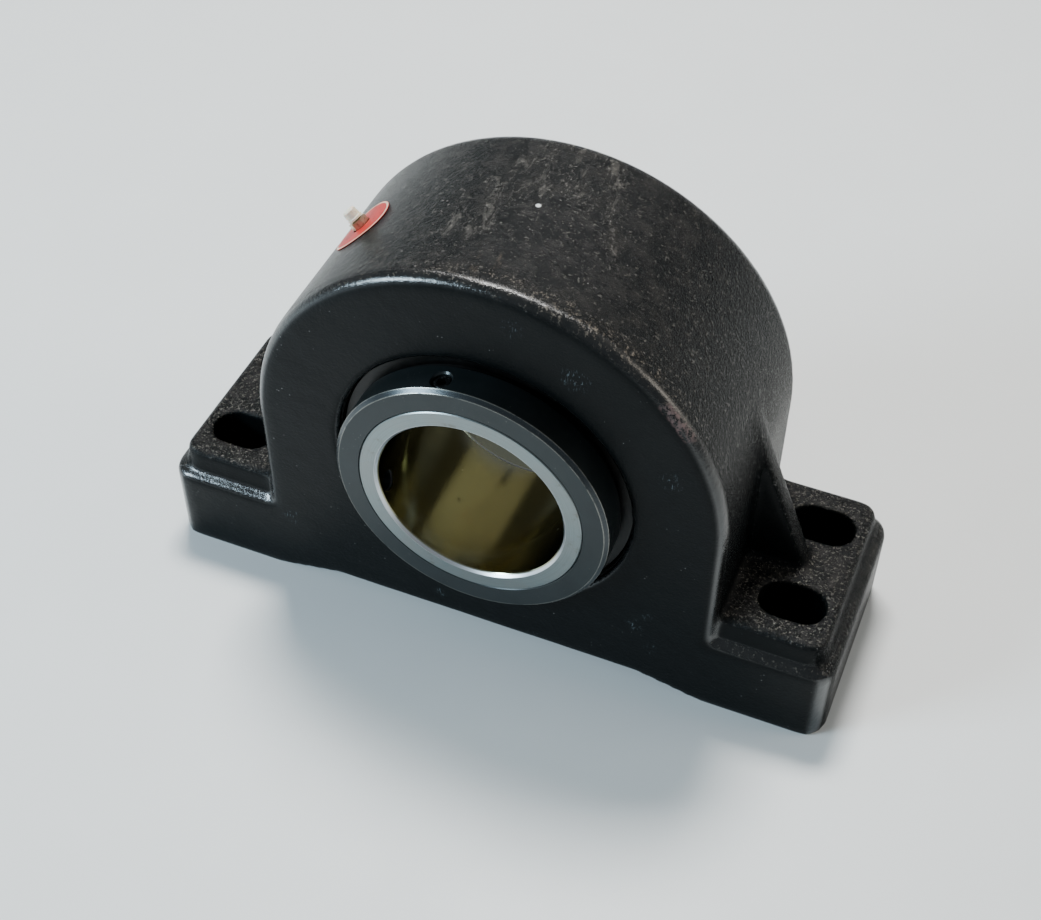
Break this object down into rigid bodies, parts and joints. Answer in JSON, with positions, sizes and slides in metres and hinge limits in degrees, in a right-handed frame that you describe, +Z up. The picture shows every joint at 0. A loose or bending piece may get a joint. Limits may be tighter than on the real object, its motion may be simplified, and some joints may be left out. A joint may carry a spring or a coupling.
{
  "type": "pillow block roller bearing",
  "caption": "Pillow block with a round-topped cast housing, slotted feet, a tapered roller insert, locking collars with set screws and a capped grease fitting.",
  "frame": {"origin": "middle of the base, on the plane of the feet", "axes": "+X along the base, +Y along the shaft from the open front to the back with the closure nut, +Z up"},
  "size_m": [0.4804, 0.194, 0.3115],
  "materials": {
    "cast_paint": "satin black paint over coarse cast iron",
    "bearing_steel": "ground and polished",
    "ground_steel": "ground, with a brown oil film in the bore",
    "pressed_steel": "pressed, dull",
    "black_oxide": "turned, black oxide, oiled",
    "screw_steel": "black oxide",
    "nut_steel": "turned, phosphated",
    "zinc_steel": "yellow zinc plating",
    "seal_rubber": "matt",
    "cap_plastic": "soft cream plastic",
    "label_film": "red film with a pale border, no lettering"
  },
  "bodies": {
    "housing": {"housing": "cast_paint", "double_cup": "bearing_steel", "front_seal_case": "pressed_steel", "front_seal_lip": "seal_rubber", "rear_seal_case": "pressed_steel", "rear_seal_lip": "seal_rubber", "closure_nut": "nut_steel", "closure_o_ring": "seal_rubber", "nut_lock_clip": "pressed_steel", "lock_clip_screw": "screw_steel", "grease_fitting": "zinc_steel", "fitting_spring": "bearing_steel", "lube_label": "label_film"},
    "rotor": {"front_cone": "ground_steel", "rear_cone": "ground_steel", "front_collar": "black_oxide", "rear_collar": "black_oxide", "front_slinger": "pressed_steel", "rear_slinger": "pressed_steel"},
    "front_roller_set": {"front_cage": "pressed_steel", "front_rollers": "bearing_steel"},
    "rear_roller_set": {"rear_cage": "pressed_steel", "rear_rollers": "bearing_steel"},
    "front_screw_1": {"front_set_screw_1": "screw_steel"},
    "front_screw_2": {"front_set_screw_2": "screw_steel"},
    "rear_screw_1": {"rear_set_screw_1": "screw_steel"},
    "rear_screw_2": {"rear_set_screw_2": "screw_steel"},
    "check_ball": {"fitting_ball": "bearing_steel"},
    "cap": {"grease_cap": "cap_plastic"}
  },
  "joints": [
    {"name": "rotor_spin", "type": "hinge", "parent": "housing", "child": "rotor", "pos_m": [0, 0, 0.15123], "axis": [0, 1, 0], "continuous": true},
    {"name": "front_cage_spin", "type": "hinge", "parent": "housing", "child": "front_roller_set", "pos_m": [0, 0, 0.15123], "axis": [0, 1, 0], "continuous": true},
    {"name": "rear_cage_spin", "type": "hinge", "parent": "housing", "child": "rear_roller_set", "pos_m": [0, 0, 0.15123], "axis": [0, 1, 0], "continuous": true},
    {"name": "front_screw_1_travel", "type": "slide", "parent": "rotor", "child": "front_screw_1", "axis": [-0.225, 0, 0.9744], "range_m": [-0.009, 0.012]},
    {"name": "front_screw_2_travel", "type": "slide", "parent": "rotor", "child": "front_screw_2", "axis": [-0.9744, 0, -0.225], "range_m": [-0.009, 0.012]},
    {"name": "rear_screw_1_travel", "type": "slide", "parent": "rotor", "child": "rear_screw_1", "axis": [-0.225, 0, 0.9744], "range_m": [-0.009, 0.012]},
    {"name": "rear_screw_2_travel", "type": "slide", "parent": "rotor", "child": "rear_screw_2", "axis": [-0.9744, 0, -0.225], "range_m": [-0.009, 0.012]},
    {"name": "ball_travel", "type": "slide", "parent": "housing", "child": "check_ball", "axis": [0.7071, 0, -0.7071], "range_m": [0, 0.001], "stiffness_N_per_m": 300, "springref_m": -0.003, "deforming": ["fitting_spring"]},
    {"name": "cap_pull", "type": "slide", "parent": "housing", "child": "cap", "axis": [-0.7071, 0, 0.7071], "range_m": [0, 0.014]}
  ],
  "couplings": [
    {"joint": "front_cage_spin", "follows": "rotor_spin", "ratio": 0.44233},
    {"joint": "rear_cage_spin", "follows": "rotor_spin", "ratio": 0.44233}
  ]
}
